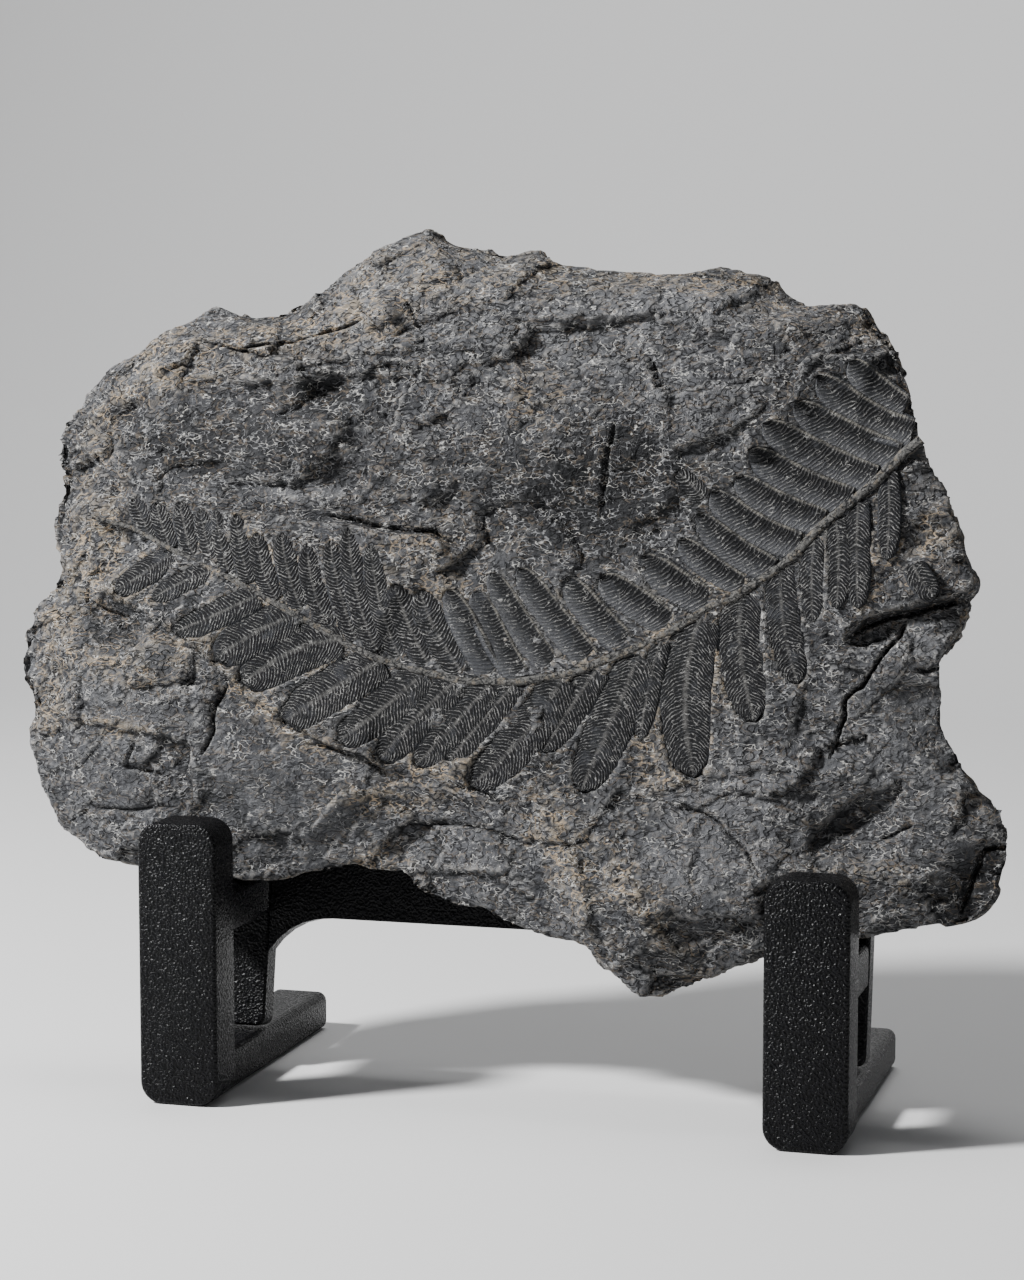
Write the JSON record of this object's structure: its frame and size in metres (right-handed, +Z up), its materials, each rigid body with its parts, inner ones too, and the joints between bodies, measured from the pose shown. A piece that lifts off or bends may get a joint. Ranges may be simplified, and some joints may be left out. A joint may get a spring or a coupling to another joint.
{
  "type": "fossil fern plate",
  "caption": "Broken slab of dark slate with a compressed fern frond on its face, leaning on a black metal stand with front posts, arms and back rests.",
  "frame": {"origin": "on the standing surface, under the middle of the whole piece", "axes": "+X along the slab's width to the right as seen from the front, +Y from the face to the back, +Z up"},
  "size_m": [0.3262, 0.1124, 0.274],
  "materials": {
    "slate": "rough split slate, matte, with pale and tan grains",
    "powder_coat": "black wrinkle powder coat, semi-matt"
  },
  "bodies": {
    "root": {"fossil_slab": "slate", "left_front_post": "powder_coat", "right_front_post": "powder_coat", "left_foot": "powder_coat", "right_foot": "powder_coat", "left_arm": "powder_coat", "right_arm": "powder_coat", "left_back_rest": "powder_coat", "right_back_rest": "powder_coat", "cross_rail": "powder_coat"}
  },
  "joints": []
}
